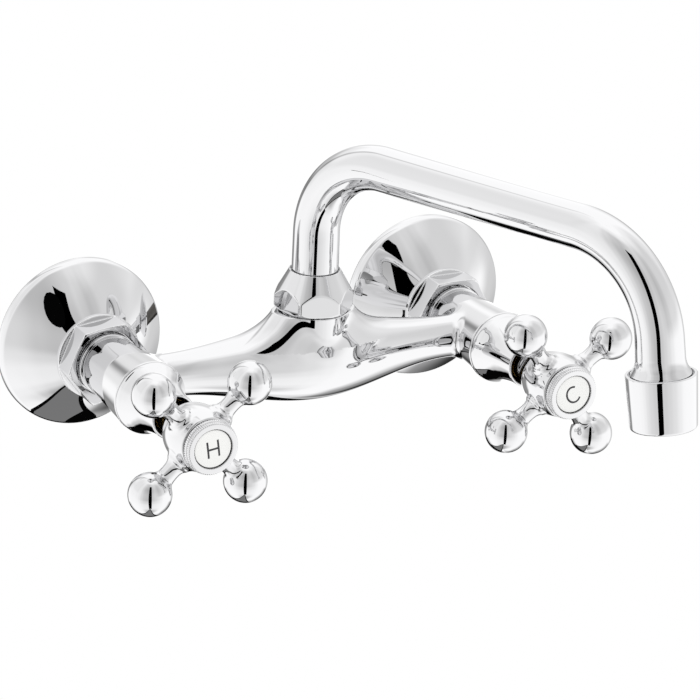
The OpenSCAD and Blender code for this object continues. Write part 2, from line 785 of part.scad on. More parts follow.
module aerator_housing()
  color(chrome) at_outlet() difference() {
    rotate_extrude() polygon(concat([[0, 0], [aerator_top_d / 2 - aerator_round / 4, 0],
      [aerator_top_d / 2, aerator_round / 4]],
      arc_points([aerator_mouth_d / 2 - aerator_round, aerator_length - aerator_round],
        aerator_round, 0, quarter, 4),
      [[0, aerator_length]]));
    bore_between(-cut, rim_recess, rim_bore);
    bore_between(0, aerator_length - mouth_lip_t, housing_bore);
    bore_between(0, aerator_length + cut, mouth_bore);
  }

module aerator_washer()
  color(black_rubber) at_outlet()
    tube_between(nozzle_end + insert_gap, insert_top - insert_gap, insert_d, spout_d - 2 * spout_wall);

module aerator_insert()
  color(acetal) at_outlet() difference() {
    bore_between(insert_top, insert_bottom, insert_d);
    for (row = [0:jet_rows], k = [0:max(0, 6 * row - 1)])
      rotate([0, 0, row == 0 ? 0 : k * 4 * quarter / (6 * row)]) translate([row * jet_pitch, 0, 0])
        bore_between(insert_top - cut, insert_bottom + cut, jet_d);
  }

mixer_body();
wall_union(hot);  // hot_wall_union
wall_union(cold);  // cold_wall_union
escutcheon(hot);  // hot_escutcheon
escutcheon(cold);  // cold_escutcheon
union_nut(hot, hot_nut_turn);  // hot_union_nut
union_nut(cold, cold_nut_turn);  // cold_union_nut
inlet_washer(hot);  // hot_inlet_washer
inlet_washer(cold);  // cold_inlet_washer
seat_seal(hot);  // hot_seat_seal
seat_seal(cold);  // cold_seat_seal
fixed_disc(hot);  // hot_fixed_disc
fixed_disc(cold);  // cold_fixed_disc
moving_disc(hot, hot_handle_turn);  // hot_moving_disc
moving_disc(cold, cold_handle_turn);  // cold_moving_disc
headwork(hot);  // hot_headwork
headwork(cold);  // cold_headwork
headwork_gasket(hot);  // hot_headwork_gasket
headwork_gasket(cold);  // cold_headwork_gasket
spindle(hot, hot_handle_turn);  // hot_spindle
spindle(cold, cold_handle_turn);  // cold_spindle
spindle_o_ring(hot);  // hot_spindle_o_ring
spindle_o_ring(cold);  // cold_spindle_o_ring
shroud(hot);  // hot_shroud
shroud(cold);  // cold_shroud
cross_handle(hot, hot_handle_turn);  // hot_handle
cross_handle(cold, cold_handle_turn);  // cold_handle
handle_screw(hot);  // hot_handle_screw
handle_screw(cold);  // cold_handle_screw
index_ring(hot, hot_handle_turn);  // hot_index_ring
index_ring(cold, cold_handle_turn);  // cold_index_ring
index_disc(hot);  // hot_index_disc
index_disc(cold);  // cold_index_disc
spout_nut();
spout_slip_washer();
spout_bush();
spout();
spout_o_rings();
aerator_housing();
aerator_washer();
aerator_insert();
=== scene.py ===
import math

import bpy
import numpy as np
from mathutils import Matrix, Vector


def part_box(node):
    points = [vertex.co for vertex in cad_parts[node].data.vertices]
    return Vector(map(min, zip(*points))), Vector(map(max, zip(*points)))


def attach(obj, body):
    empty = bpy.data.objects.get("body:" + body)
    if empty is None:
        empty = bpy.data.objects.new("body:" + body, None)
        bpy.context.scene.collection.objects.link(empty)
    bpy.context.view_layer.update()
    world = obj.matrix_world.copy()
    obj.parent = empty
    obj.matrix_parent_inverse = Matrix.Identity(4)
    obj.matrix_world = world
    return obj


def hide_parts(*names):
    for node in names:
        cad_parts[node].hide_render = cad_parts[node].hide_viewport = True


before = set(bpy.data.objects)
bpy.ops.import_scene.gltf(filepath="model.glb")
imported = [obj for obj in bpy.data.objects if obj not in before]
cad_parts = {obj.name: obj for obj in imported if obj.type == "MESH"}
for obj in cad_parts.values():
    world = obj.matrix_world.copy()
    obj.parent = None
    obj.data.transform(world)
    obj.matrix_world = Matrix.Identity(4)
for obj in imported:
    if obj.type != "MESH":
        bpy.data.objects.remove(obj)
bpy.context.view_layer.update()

# Cast body: two barrels, arms that swell towards the spout, and the neck, all one brass casting,
# ground, polished and chrome plated. Its bores take the unions, the valves and the spout.
MM = 0.001


def colour(code):
    """Linear colour of an sRGB hex code."""
    parts = [int(code[i:i + 2], 16) / 255 for i in (0, 2, 4)]
    return [v / 12.92 if v <= 0.04045 else ((v + 0.055) / 1.055) ** 2.4 for v in parts] + [1.0]


def add(tree, kind, settings, links):
    """Node of the kind, with its settings and inputs set and its inputs linked."""
    node = tree.nodes.new("ShaderNode" + kind)
    for key, value in settings.items():
        if isinstance(key, str) and hasattr(node, key):
            setattr(node, key, value)
        else:
            node.inputs[key].default_value = value
    for key, source in links.items():
        tree.links.new(source, node.inputs[key])
    return node


def empty_tree(owner):
    owner.use_nodes = True
    owner.node_tree.nodes.clear()
    return owner.node_tree


def surface_of(name, code, roughness, grain, metallic=0.0, relief=0.0):
    """Finish whose roughness wanders over a grain in mm, with a fine relief of the same grain."""
    wander = 0.3
    material = bpy.data.materials.new(name)
    tree = empty_tree(material)
    where = add(tree, "TexCoord", {}, {})
    noise = add(tree, "TexNoise", {"Scale": 1 / (grain * MM), "Detail": 4.0},
                {"Vector": where.outputs["Object"]})
    gloss = add(tree, "MapRange",
                {"To Min": roughness * (1 - wander), "To Max": roughness * (1 + wander)},
                {"Value": noise.outputs["Fac"]})
    surface = add(tree, "BsdfPrincipled", {"Base Color": colour(code), "Metallic": metallic},
                  {"Roughness": gloss.outputs["Result"]})
    if relief:
        bump = add(tree, "Bump", {"Strength": relief, "Distance": 0.05 * MM},
                   {"Height": noise.outputs["Fac"]})
        tree.links.new(bump.outputs["Normal"], surface.inputs["Normal"])
    add(tree, "OutputMaterial", {}, {"Surface": surface.outputs["BSDF"]})
    return material


# Chrome plate, polished: a clear mirror, a little darker than what it mirrors. Its gloss wanders
# over 25 mm, a thumb's width, as wiping leaves it.
chrome = surface_of("polished chrome", "dcdcdd", 0.016, grain=25, metallic=1.0)


def box_of(node):
    """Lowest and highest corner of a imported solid, in millimetres."""
    return [np.array(corner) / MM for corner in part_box(node)]


def smooth_run(stations):
    """Value along a smooth curve through (place, value) stations, as a function of the place."""
    place, value = np.array(stations, float).T
    slope = np.gradient(value, place)
    fine = np.linspace(place[0], place[-1], 1500)
    i = np.clip(np.searchsorted(place, fine) - 1, 0, len(place) - 2)
    w = place[i + 1] - place[i]
    t = (fine - place[i]) / w
    run = ((2 * t**3 - 3 * t**2 + 1) * value[i] + (t**3 - 2 * t**2 + t) * w * slope[i]
           + (3 * t**2 - 2 * t**3) * value[i + 1] + (t**3 - t**2) * w * slope[i + 1])
    return lambda q: np.interp(q, fine, run)


def union(a, b, soft):
    """Both shapes, with a fillet of about the given size where they meet."""
    h = np.maximum(soft - np.abs(a - b), 0)
    return np.minimum(a, b) - h * h / (4 * soft)


def common(a, b, soft):
    """What both shapes share, with its edges rounded."""
    return -union(-a, -b, soft)


def between(value, low, high):
    return np.maximum(low - value, value - high)


def as_mesh(name, points, faces, normals):
    mesh = bpy.data.meshes.new(name)
    mesh.from_pydata((points * MM).tolist(), [], faces.tolist())
    mesh.shade_smooth()
    mesh.normals_split_custom_set_from_vertices(normals.tolist())
    return mesh


def skin_of(name, shape, low, high, step):
    """Skin of the solid where shape(x, y, z) is negative: a net over a grid of the given step,
    drawn on to the true surface."""
    axes = [np.arange(a, b + step, step) for a, b in zip(low, high)]
    inside = shape(*np.meshgrid(*axes, indexing="ij")) < 0
    n = [len(a) - 1 for a in axes]
    count = sum(inside[i:i + n[0], j:j + n[1], k:k + n[2]].astype(np.int8)
                for i in (0, 1) for j in (0, 1) for k in (0, 1))
    live = (count > 0) & (count < 8)
    index = np.full(live.shape, -1)
    index[live] = np.arange(live.sum())
    points = np.stack([axes[d][np.nonzero(live)[d]] + step / 2 for d in range(3)], 1)
    faces = []
    for d in range(3):
        order = (d, (d + 1) % 3, (d + 2) % 3)
        a = np.moveaxis(inside, order, (0, 1, 2))
        g = np.moveaxis(index, order, (0, 1, 2))
        first, second = a[:-1, 1:-1, 1:-1], a[1:, 1:-1, 1:-1]
        for turn, pick in ((1, first & ~second), (-1, ~first & second)):
            i, j, k = np.nonzero(pick)
            quad = np.stack([g[i, j, k], g[i, j + 1, k], g[i, j + 1, k + 1], g[i, j, k + 1]], 1)
            faces.append(quad[:, ::turn])

    def slope(p):
        tiny = 0.002
        return np.stack([(shape(*(p + t).T) - shape(*(p - t).T)) / (2 * tiny)
                         for t in tiny * np.eye(3)], 1)

    # Six steps pull each point on to the surface, none longer than 0.7 of the grid's step.
    for _ in range(6):
        grad = slope(points)
        move = shape(*points.T)[:, None] * grad / (np.sum(grad * grad, 1)[:, None] + 1e-9)
        reach = np.linalg.norm(move, axis=1)[:, None]
        points = points - move * np.minimum(1, 0.7 * step / (reach + 1e-9))
    grad = slope(points)
    normals = grad / (np.linalg.norm(grad, axis=1)[:, None] + 1e-12)
    return as_mesh(name, points, np.concatenate(faces), normals)


def put(mesh, name, material, body, nodes, place=(0, 0, 0), turn=0.0):
    """Shown piece from a mesh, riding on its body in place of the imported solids. Its turn is in
    degrees, seen from the front."""
    piece = bpy.data.objects.new(name, mesh)
    bpy.context.scene.collection.objects.link(piece)
    piece.location = [v * MM for v in place]
    piece.rotation_euler = (0, -math.radians(turn), 0)
    if not mesh.materials:
        mesh.materials.append(material)
    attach(piece, body)
    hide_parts(*nodes)
    return piece


body_low, body_high = box_of("mixer_body")
wall_plate_low, wall_plate_high = box_of("cold_escutcheon")
nut_low, nut_high = box_of("spout_nut")
valve_x = (wall_plate_low[0] + wall_plate_high[0]) / 2
axis_z = (wall_plate_low[2] + wall_plate_high[2]) / 2
spout_out = -(nut_low[1] + nut_high[1]) / 2
nut_seat = nut_low[2] - axis_z
barrel_front, collar_back = -body_low[1], -body_high[1]
barrel_r = smooth_run([(20, 11.5), (28, 11.5), (38, 12.05), (50, 12.8), (60, 13.6), (66, 14.1),
                       (72, 14.6)])
arm_r, arm_out, yoke_extra_r, yoke_half_w = 8.3, 47.0, 7.4, 60.0
# The fillet round the neck is neck_flow, and up to arm_flow more along the tops of the arms.
neck_r, neck_foot, neck_flow, arm_flow, flow_height, flow_core = 13.5, -2, 3.0, 17.0, 8, 30
collar_r, collar_l, column_r, column_foot, column_top = 12.9, 2.2, 12.2, nut_seat - 2, nut_seat + 6
inlet_r, inlet_front, chamber_r, chamber_back, thread_r, thread_back = 7.0, 38, 9.7, 37, 10.53, 53.5
tail_bore_r, tail_bore_foot, pocket_r, pocket_foot = 9.08, 5, 10.8, nut_seat + 1


def body_shape(x, y, z):
    z = z - axis_z
    out = -y
    about_valve = np.hypot(np.abs(x) - valve_x, z)
    about_spout = np.hypot(x, out - spout_out)
    swell = (1 + np.cos(np.pi * np.minimum(1, np.abs(x) / yoke_half_w))) / 2
    arm_axis = arm_out + (spout_out - arm_out) * swell
    arm = np.hypot(out - arm_axis, z) - arm_r - yoke_extra_r * swell
    arm = np.maximum(arm, np.abs(x) - valve_x)
    along = x * x / (x * x + (out - spout_out) ** 2 + flow_core)
    flow = neck_flow + arm_flow * along * np.clip(z / flow_height, 0, 1)
    neck = common(about_spout - neck_r, neck_foot - z, soft=2.0)
    barrel = common(about_valve - barrel_r(out), between(out, collar_back, barrel_front), soft=0.9)
    solid = union(union(neck, arm, flow), barrel, soft=3.2)
    solid = common(solid, z - nut_seat, soft=0.4)
    collar = common(about_valve - collar_r, between(out, collar_back, collar_back + collar_l),
                    soft=0.3)
    column = common(about_spout - column_r, between(z, column_foot, column_top), soft=0.4)
    solid = union(union(solid, collar, soft=0.2), column, soft=0.2)
    for bore in (np.maximum(about_valve - inlet_r, out - inlet_front),
                 np.maximum(about_valve - chamber_r, chamber_back - out),
                 np.maximum(about_valve - thread_r, thread_back - out),
                 np.maximum(about_spout - tail_bore_r, tail_bore_foot - z),
                 np.maximum(about_spout - pocket_r, pocket_foot - z)):
        solid = common(solid, -bore, soft=0.3)
    return solid


cast = skin_of("cast body", body_shape, low=(-91, -68, -9.5), high=(91, -22, 37), step=0.6)
put(cast, "cast_body", chrome, "fixed_body", ["mixer_body"])

# Union nuts: turned and milled brass hexagons with a round flange behind, and a recess in front
# round the barrel, plated. Each pulls the body's collar on to the thread of a wall union.
# A side has its name, its place, and the turns of its handle and of its nut in degrees.
SIDES = (("hot", -valve_x, -0.6, 7.0), ("cold", valve_x, -9.1, 0.0))
nut_back, nut_front, nut_flats, nut_corner_r, flange_l = 18.0, 29.5, 29.4, 16.9, 2.2
nut_bore_r, recess_r, recess_back = 11.9, 12.8, 24.0
# dish_true, and its like on the spout nut, turn a height over a slope into a distance from it.
dish_r, dish_w, dish_slope, dish_true = 16.0, 3.4, 0.55, 1.14


def hexagon(u, v, flats, soft):
    """Six flats round the axis, with a corner on the side of u."""
    sides = [np.abs(u * math.cos(a) + v * math.sin(a)) - flats / 2
             for a in np.radians((30, 90, 150))]
    return common(common(sides[0], sides[1], soft), sides[2], soft)


def union_nut_shape(x, y, z):
    out = -y
    about = np.hypot(x, z)
    dish = (out - nut_front + dish_slope * np.clip(dish_r - about, 0, dish_w)) / dish_true
    hexa = common(hexagon(x, z, nut_flats, soft=0.25), np.maximum(dish, nut_back + 1 - out),
                  soft=0.25)
    hexa = common(hexa, about - nut_corner_r, soft=0.1)
    flange = common(about - nut_corner_r, between(out, nut_back, nut_back + flange_l), soft=0.5)
    solid = union(hexa, flange, soft=0.2)
    for bore in (about - nut_bore_r, np.maximum(about - recess_r, recess_back - out)):
        solid = common(solid, -bore, soft=0.2)
    return solid


union_nut = skin_of("union nut", union_nut_shape, low=(-18, -31, -18), high=(18, -16.5, 18),
                    step=0.3)
for side, x, _, turn in SIDES:
    put(union_nut, side + "_union_nut_shell", chrome, "fixed_body",
        [side + "_union_nut"], (x, 0, axis_z), turn)


# Barrel beads: a narrow turned ring round each barrel, just in front of its nut. It is part of
# the casting, and turned and plated with it.
def lathe(name, outline, segments=180, upright=False, ripple=None):
    """Turned piece from a closed outline of (radius, place), round Y or, upright, round Z."""
    path, spacing = [], 0.25
    for a, b in zip(outline, list(outline[1:]) + [outline[0]]):
        a, b = np.array(a, float), np.array(b, float)
        n = max(1, int(np.linalg.norm(b - a) / spacing))
        path += [a + (b - a) * i / n for i in range(n)]
    path = np.array(path)
    area = np.sum(path[:, 0] * np.roll(path[:, 1], -1) - np.roll(path[:, 0], -1) * path[:, 1])
    if area > 0:
        path = path[::-1]
    angle = np.linspace(0, 2 * math.pi, segments, endpoint=False)[None, :]
    r, h = path[:, :1] + 0 * angle, path[:, 1:] + 0 * angle
    if ripple:
        r = r + ripple(h, angle)
    grid = np.stack([r * np.cos(angle), r * np.sin(angle), h], 2)
    along = np.roll(grid, -1, 0) - np.roll(grid, 1, 0)
    round_axis = np.roll(grid, -1, 1) - np.roll(grid, 1, 1)
    normals = np.cross(along, round_axis)
    normals /= np.linalg.norm(normals, axis=2)[:, :, None] + 1e-12
    if not upright:
        grid, normals = [np.stack([v[:, :, 0], -v[:, :, 2], v[:, :, 1]], 2)
                         for v in (grid, normals)]
    k = np.arange(len(path))[:, None] * segments + np.arange(segments)[None, :]
    above = np.roll(k, -1, 0)
    quads = np.stack([k, above, np.roll(above, -1, 1), np.roll(k, -1, 1)], 2)
    return as_mesh(name, grid.reshape(-1, 3), quads.reshape(-1, 4), normals.reshape(-1, 3))


def rounded(corners, steps=5):
    """Closed outline through corners of (radius, place, rounding). A rounding takes up less than
    half of the sides beside it, and a corner that is nearly straight stays as it is."""
    out = []
    for i, (r, h, soft) in enumerate(corners):
        p = np.array([r, h], float)
        a = np.array(corners[i - 1][:2]) - p
        b = np.array(corners[(i + 1) % len(corners)][:2]) - p
        la, lb = np.linalg.norm(a), np.linalg.norm(b)
        half = math.acos(np.clip(a @ b / (la * lb), -1, 1)) / 2
        if soft == 0 or half > 1.55:
            out.append((r, h))
            continue
        cut = min(soft / math.tan(half), 0.45 * la, 0.45 * lb)
        a, b = a / la, b / lb
        middle = p + (a + b) / np.linalg.norm(a + b) * cut / math.cos(half)
        start, end = p + a * cut - middle, p + b * cut - middle
        sweep = math.atan2(start[0] * end[1] - start[1] * end[0], start @ end)
        for t in np.linspace(0, sweep, steps + 1):
            out.append((middle[0] + start[0] * math.cos(t) - start[1] * math.sin(t),
                        middle[1] + start[0] * math.sin(t) + start[1] * math.cos(t)))
    return out


bead_root_r, bead_r, bead_back, bead_front = 11.0, 12.3, 27.4, 30.2
bead = lathe("barrel bead", rounded([(bead_root_r, bead_back, 0), (bead_r, bead_back, 0.3),
                                     (bead_r, bead_front, 0.35), (bead_root_r, bead_front, 0)]))
for side, x, _, _ in SIDES:
    put(bead, side + "_barrel_bead", chrome, "fixed_body", [], (x, 0, axis_z))

# Escutcheons: spun brass plates, rolled over at the rim, plated outside and painted dark inside as
# shade. They slide on the unions and hide the holes in the wall.
plate_r = (wall_plate_high[0] - wall_plate_low[0]) / 2
plate_front = -wall_plate_low[1]
lip_r, lip_h, lip_turn, bulge, sheet = 3.6, 1.5, 47, 0.8, 1.0
crest_r, neck_hole_r, neck_l = 15.6, 13.4, 2.2
lip = [(plate_r - lip_r + lip_r * math.cos(a), lip_h + lip_r * math.sin(a))
       for a in np.radians(np.linspace(0, lip_turn, 12))]
foot, crest = np.array(lip[-1]), np.array([crest_r, plate_front])
dome = [foot + t * (crest - foot) + bulge * math.sin(math.pi * t) * np.array([0.0, 1])
        for t in np.linspace(0.03, 1, 30)]
under = [p - np.array([0.5, sheet]) for p in dome[::-1]]
under += [(r - 0.7 * sheet, h - 0.7 * sheet) for r, h in lip[::-1] if h > 2]
spun = lathe("escutcheon", [(plate_r, 0)] + lip + dome
             + [(neck_hole_r, plate_front), (neck_hole_r, plate_front - neck_l)]
             + under + [(plate_r - sheet, 0)])
# Painted shade for hollows and gaps: brass drawn nearly black and without a clear picture, so that
# a gap reads as deep. Its spinning marks are 0.2 mm apart and are drawn 3.33 mm wide to show.
dull = surface_of("brass painted dark as shade", "3a352b", 0.5, grain=3.33, metallic=1.0)
spun.materials.append(chrome)
spun.materials.append(dull)
# painted shade: what faces the wall, inside the rim
for face in spun.polygons:
    about = math.hypot(face.center.x, face.center.z) / MM
    if face.normal.y > 0.05 and about < plate_r - 0.5:
        face.material_index = 1
for side, x, _, _ in SIDES:
    put(spun, side + "_escutcheon_shell", chrome, "fixed_body",
        [side + "_escutcheon"], (x, 0, axis_z))

# Shrouds: thin turned brass bells over the headworks, plated outside, painted dark inside as shade,
# and open at the front. Each is screwed on in front of its barrel.
shroud_low, shroud_high = box_of("cold_shroud")
shroud_back, shroud_front = -shroud_high[1], -shroud_low[1]
bell_r = smooth_run([(66.2, 14.0), (67.3, 13.95), (69.3, 13.0), (72, 11.7), (75, 10.65),
                     (79, 9.75), (83, 9.15), (88, 8.7)])
bell_h = np.linspace(shroud_back + 0.5, shroud_front - 0.3, 60)
bell_wall, bell_foot_r, bell_foot_hole_r = 1.0, 13.6, 12.9
bell_mouth_r, bell_mouth_hole_r = 8.45, 8.0
outer = [(float(bell_r(h)), h) for h in bell_h]
inner = [(float(bell_r(h)) - bell_wall, h) for h in bell_h[::-1]]
bell = lathe("shroud", [(bell_foot_hole_r, shroud_back), (bell_foot_r, shroud_back)] + outer
             + [(bell_mouth_r, shroud_front), (bell_mouth_hole_r, shroud_front)] + inner)
bell.materials.append(chrome)
bell.materials.append(dull)
# painted shade: the inner wall
for face in bell.polygons:
    about = math.hypot(face.center.x, face.center.z) / MM
    if about < bell_r(-face.center.y / MM) - 0.6:
        face.material_index = 1
for side, x, _, _ in SIDES:
    put(bell, side + "_shroud_bell", chrome, "fixed_body", [side + "_shroud"],
        (x, 0, axis_z))

# Cross handles: cast brass, a bell hub with four waisted arms that run into balls, polished and
# plated. Each is pushed on its toothed spindle and held by a screw in the hub.
hub_r = smooth_run([(85, 6.6), (87, 6.7), (90, 7.1), (93.4, 7.9), (97, 9.2), (100.4, 10.7),
                    (103.7, 11.6), (107, 12.0), (110.3, 12.0), (113.2, 11.65), (115.7, 11.0),
                    (118, 10.2)])
waist_r = smooth_run([(0, 4.7), (11.6, 4.7), (12.4, 4.55), (13.2, 3.9), (14.2, 3.5), (16.0, 3.3),
                      (18.0, 3.4), (20.0, 3.8), (30, 4.2)])
hub_back, hub_front, arm_plane, ball_ring_r, ball_r = 86.8, 117.1, 109.7, 27.0, 8.2
hub_hole_r, web_front, screw_hole_r = 8.7, 111.1, 3.6


def cross_shape(x, y, z):
    out = -y
    about = np.hypot(x, z)
    hub = common(about - hub_r(out), between(out, hub_back, hub_front), soft=0.8)
    reach = (np.abs(x) + np.abs(z)) / math.sqrt(2)
    aside = (np.abs(x) - np.abs(z)) / math.sqrt(2)
    arm = np.maximum(np.hypot(aside, out - arm_plane) - waist_r(reach), reach - ball_ring_r)
    ball = np.sqrt((reach - ball_ring_r) ** 2 + aside**2 + (out - arm_plane) ** 2) - ball_r
    solid = union(union(hub, arm, soft=1.6), ball, soft=0.9)
    for bore in (np.maximum(about - hub_hole_r, web_front - out), about - screw_hole_r):
        solid = common(solid, -bore, soft=0.4)
    return solid


cross = skin_of("cross handle", cross_shape, low=(-28.5, -119, -28.5), high=(28.5, -85.5, 28.5),
                step=0.42)
for side, x, turn, _ in SIDES:
    put(cross, side + "_cross", chrome, side + "_cross_handle", [side + "_handle"],
        (x, 0, axis_z), turn)

# Index rings: turned brass caps with a knurled band, plated, pressed into the hubs. The groove
# behind the band is painted dark as shade, and keeps the band apart from the hub as a dark line.
disc_r, cap_r, band_r, groove_r, groove_l = 7.45, 9.76, 10.1, 9.1, 0.8
ring_back, band_front, ring_front = 117.2, 119.7, 121.1
teeth, tooth_h, band_sink = 72, 0.2, 0.12


def knurl(h, a):
    """Ridges along the ring, with the band between its two edges sunk a little."""
    band = (h > ring_back + groove_l + 0.1) * (h < band_front - 0.1)
    return tooth_h * np.abs(np.cos(teeth / 2 * a)) - band_sink * band


ring = lathe("index ring",
             rounded([(disc_r, ring_back, 0), (groove_r, ring_back, 0),
                      (groove_r, ring_back + groove_l, 0), (band_r, ring_back + groove_l, 0.1),
                      (band_r, band_front, 0.1), (cap_r, band_front + 0.1, 0),
                      (cap_r, ring_front, 1.0), (disc_r, ring_front, 0.25)]),
             segments=12 * teeth, ripple=knurl)
for side, x, turn, _ in SIDES:
    put(ring, side + "_index_cap", chrome, side + "_cross_handle",
        [side + "_index_ring"], (x, 0, axis_z), turn)
ring.materials.append(dull)
# painted shade: the back face and the groove
for face in ring.polygons:
    if -face.center.y / MM < ring_back + groove_l - 0.05:
        face.material_index = 1

# Index discs: brass, slightly domed and enamelled white, and cemented into the rings. Each bears
# one plain capital, filled with black and fired with the white.
disc_back, disc_edge, disc_top, edge_gap = 119.2, 120.55, 120.9, 0.25
# Fired enamel, white: smooth as glass, with a clear gloss over an even milky white.
enamel = surface_of("white enamel", "f6f6f4", 0.1, grain=33.3)
# Fired enamel, black: the same in the letters, a little less glossy, as they aren't polished.
ink = surface_of("black enamel", "26262a", 0.25, grain=16.7)


def disc_shape(x, y, z):
    about = np.hypot(x, z)
    front = disc_top - (disc_top - disc_edge) * (about / disc_r) ** 2
    return common(about - disc_r + edge_gap, between(-y, disc_back, front), soft=0.2)


disc = skin_of("index disc", disc_shape, low=(-8, -121.5, -8), high=(8, -118.8, 8), step=0.15)
for side, x, turn, _ in SIDES:
    put(disc, side + "_index_face", enamel, side + "_cross_handle",
        [side + "_index_disc"], (x, 0, axis_z), turn)


def ribbons(name, strokes, width, proud=0.03):
    """Bands of one width along strokes of (x, z) points, a hair proud of the domed enamel."""
    points, faces = [], []
    for stroke in strokes:
        stroke = np.array(stroke, float)
        way = np.gradient(stroke, axis=0)
        way /= np.linalg.norm(way, axis=1)[:, None]
        side_way = np.stack([-way[:, 1], way[:, 0]], 1) * width / 2
        first = len(points)
        for a, b in zip(stroke - side_way, stroke + side_way):
            for px, pz in (a, b):
                dip = (disc_top - disc_edge) * (px * px + pz * pz) / disc_r**2
                points.append((px * MM, (dip - disc_top - proud) * MM, pz * MM))
        faces += [(first + 2 * i, first + 2 * i + 2, first + 2 * i + 3, first + 2 * i + 1)
                  for i in range(len(stroke) - 1)]
    mesh = bpy.data.meshes.new(name)
    mesh.from_pydata(points, [], faces)
    return mesh


stroke_w, half_w, half_h, bow_half_w, bow_half_h = 0.75, 2.1, 3.2, 2.76, 3.24
h_strokes = [[(x, z) for z in np.linspace(-half_h, half_h, 20)] for x in (-half_w, half_w)]
h_strokes.append([(x, 0) for x in np.linspace(-half_w, half_w, 20)])
bow_gap, h_turn, c_turn = 48, 8.0, 30.0
c_strokes = [[(bow_half_w * math.cos(a), bow_half_h * math.sin(a))
              for a in np.radians(np.linspace(bow_gap, 360 - bow_gap, 40))]]
capitals = ((h_strokes, h_turn), (c_strokes, c_turn))
for (side, x, _, _), (strokes, turn) in zip(SIDES, capitals):
    put(ribbons(side + " capital", strokes, stroke_w), side + "_capital", ink,
        side + "_cross_handle", [], (x, 0, axis_z), turn)

# Spout: drawn brass tube, bent twice, polished and plated, and flared into its nozzle. It swings
# on a collar held in the body. Its mesh is laid out in one plane and then swung to its place.
lean, swing = math.radians(8), math.radians(22.9)
tube_r, riser_top, bend_r, run_length, last_bend_r = 9.0, 51.5, 31.5, 89.5, 38.0
drop, nozzle_r, nozzle_l = 12.5, 11.2, 7
axis = [(0.0, h) for h in np.linspace(nut_seat, riser_top, 40)]
axis += [(bend_r - bend_r * math.cos(a), riser_top + bend_r * math.sin(a))
         for a in np.linspace(0, math.pi / 2, 60)[1:]]
axis += [(bend_r + s, riser_top + bend_r) for s in np.linspace(0, run_length, 60)[1:]]
axis += [(bend_r + run_length + last_bend_r * math.sin(a),
          riser_top + bend_r - last_bend_r * (1 - math.cos(a)))
         for a in np.linspace(0, math.pi / 2 - lean, 80)[1:]]
bend_end = np.array(axis[-1])
outlet_way = np.array([math.sin(lean), -math.cos(lean)])
axis = np.array(axis + [tuple(bend_end + outlet_way * s)
                        for s in np.linspace(0, drop + nozzle_l, 90)[1:]])
length = np.concatenate([[0], np.cumsum(np.linalg.norm(np.diff(axis, axis=0), axis=1))])
rim = length[-1] - nozzle_l
flare = smooth_run([(0, tube_r), (rim - 7, tube_r), (rim - 5.5, 9.03), (rim - 4, 9.25),
                    (rim - 2.5, 9.75), (rim - 1.2, 10.5), (rim, 11.15), (rim + 1, nozzle_r),
                    (length[-1], nozzle_r)])
radius = flare(length)[:, None]
run = np.gradient(axis, axis=0)
run /= np.linalg.norm(run, axis=1)[:, None]
growth = np.gradient(radius[:, 0], length)[:, None]
tube_sides = 144
angle = np.linspace(0, 2 * math.pi, tube_sides, endpoint=False)[None, :]
side_x, side_z = -run[:, 1:] * np.cos(angle), run[:, :1] * np.cos(angle)
side_y = np.sin(angle) + 0 * side_x
points = np.stack([axis[:, :1] + radius * side_x, radius * side_y,
                   axis[:, 1:] + radius * side_z], 2)
normals = np.stack([side_x - growth * run[:, :1], side_y, side_z - growth * run[:, 1:]], 2)
to_world = np.array([[math.sin(swing), math.cos(swing), 0],
                     [-math.cos(swing), math.sin(swing), 0], [0, 0, 1]])
spout_foot = np.array([0, -spout_out, axis_z])
k = np.arange(len(axis) - 1)[:, None] * tube_sides + np.arange(tube_sides)[None, :]
beside = np.roll(k, -1, 1)
tube = as_mesh("spout tube", points.reshape(-1, 3) @ to_world.T + spout_foot,
               np.stack([k, k + tube_sides, beside + tube_sides, beside], 2).reshape(-1, 4),
               normals.reshape(-1, 3) @ to_world.T)
put(tube, "spout_tube", chrome, "swivel_spout", ["spout"])

# Spout nut: a brass hexagon turned to a cone towards the tube, plated. It screws on the neck of
# the body and holds the spout's bearing down.
crown_turn, crown_flats, crown_top = math.radians(43.5), 27.0, nut_high[2] - axis_z
crown_back, crown_corner_r = nut_seat + 0.45, 15.4
cone_r, cone_slope, cone_true, foot_r, foot_slope, foot_true = 9.8, 0.56, 1.15, 13.4, 1.15, 1.52
neck_bore_r, neck_bore_l, tube_bore_r, crown_mouth_r, crown_mouth_l = 12.25, 8.9, 9.08, 9.55, 1.6


def spout_nut_shape(x, y, z):
    y, z = y + spout_out, z - axis_z
    u = x * math.cos(crown_turn) + y * math.sin(crown_turn)
    v = -x * math.sin(crown_turn) + y * math.cos(crown_turn)
    about = np.hypot(x, y)
    cone = (about - cone_r - (crown_top - z) * cone_slope) / cone_true
    foot = (about - foot_r - (z - nut_seat) * foot_slope) / foot_true
    solid = common(hexagon(u, v, crown_flats, soft=0.35), cone, soft=0.3)
    solid = common(solid, np.maximum(foot, about - crown_corner_r), soft=0.3)
    solid = common(solid, between(z, crown_back, crown_top), soft=0.2)
    for bore in (np.maximum(about - neck_bore_r, z - nut_seat - neck_bore_l),
                 about - tube_bore_r,
                 np.maximum(about - crown_mouth_r, crown_top - crown_mouth_l - z)):
        solid = common(solid, -bore, soft=0.2)
    return solid


crown = skin_of("spout nut", spout_nut_shape, low=(-17, -67.5, 27), high=(17, -33.5, 46),
                step=0.28)
put(crown, "spout_nut_shell", chrome, "fixed_body", ["spout_nut"])

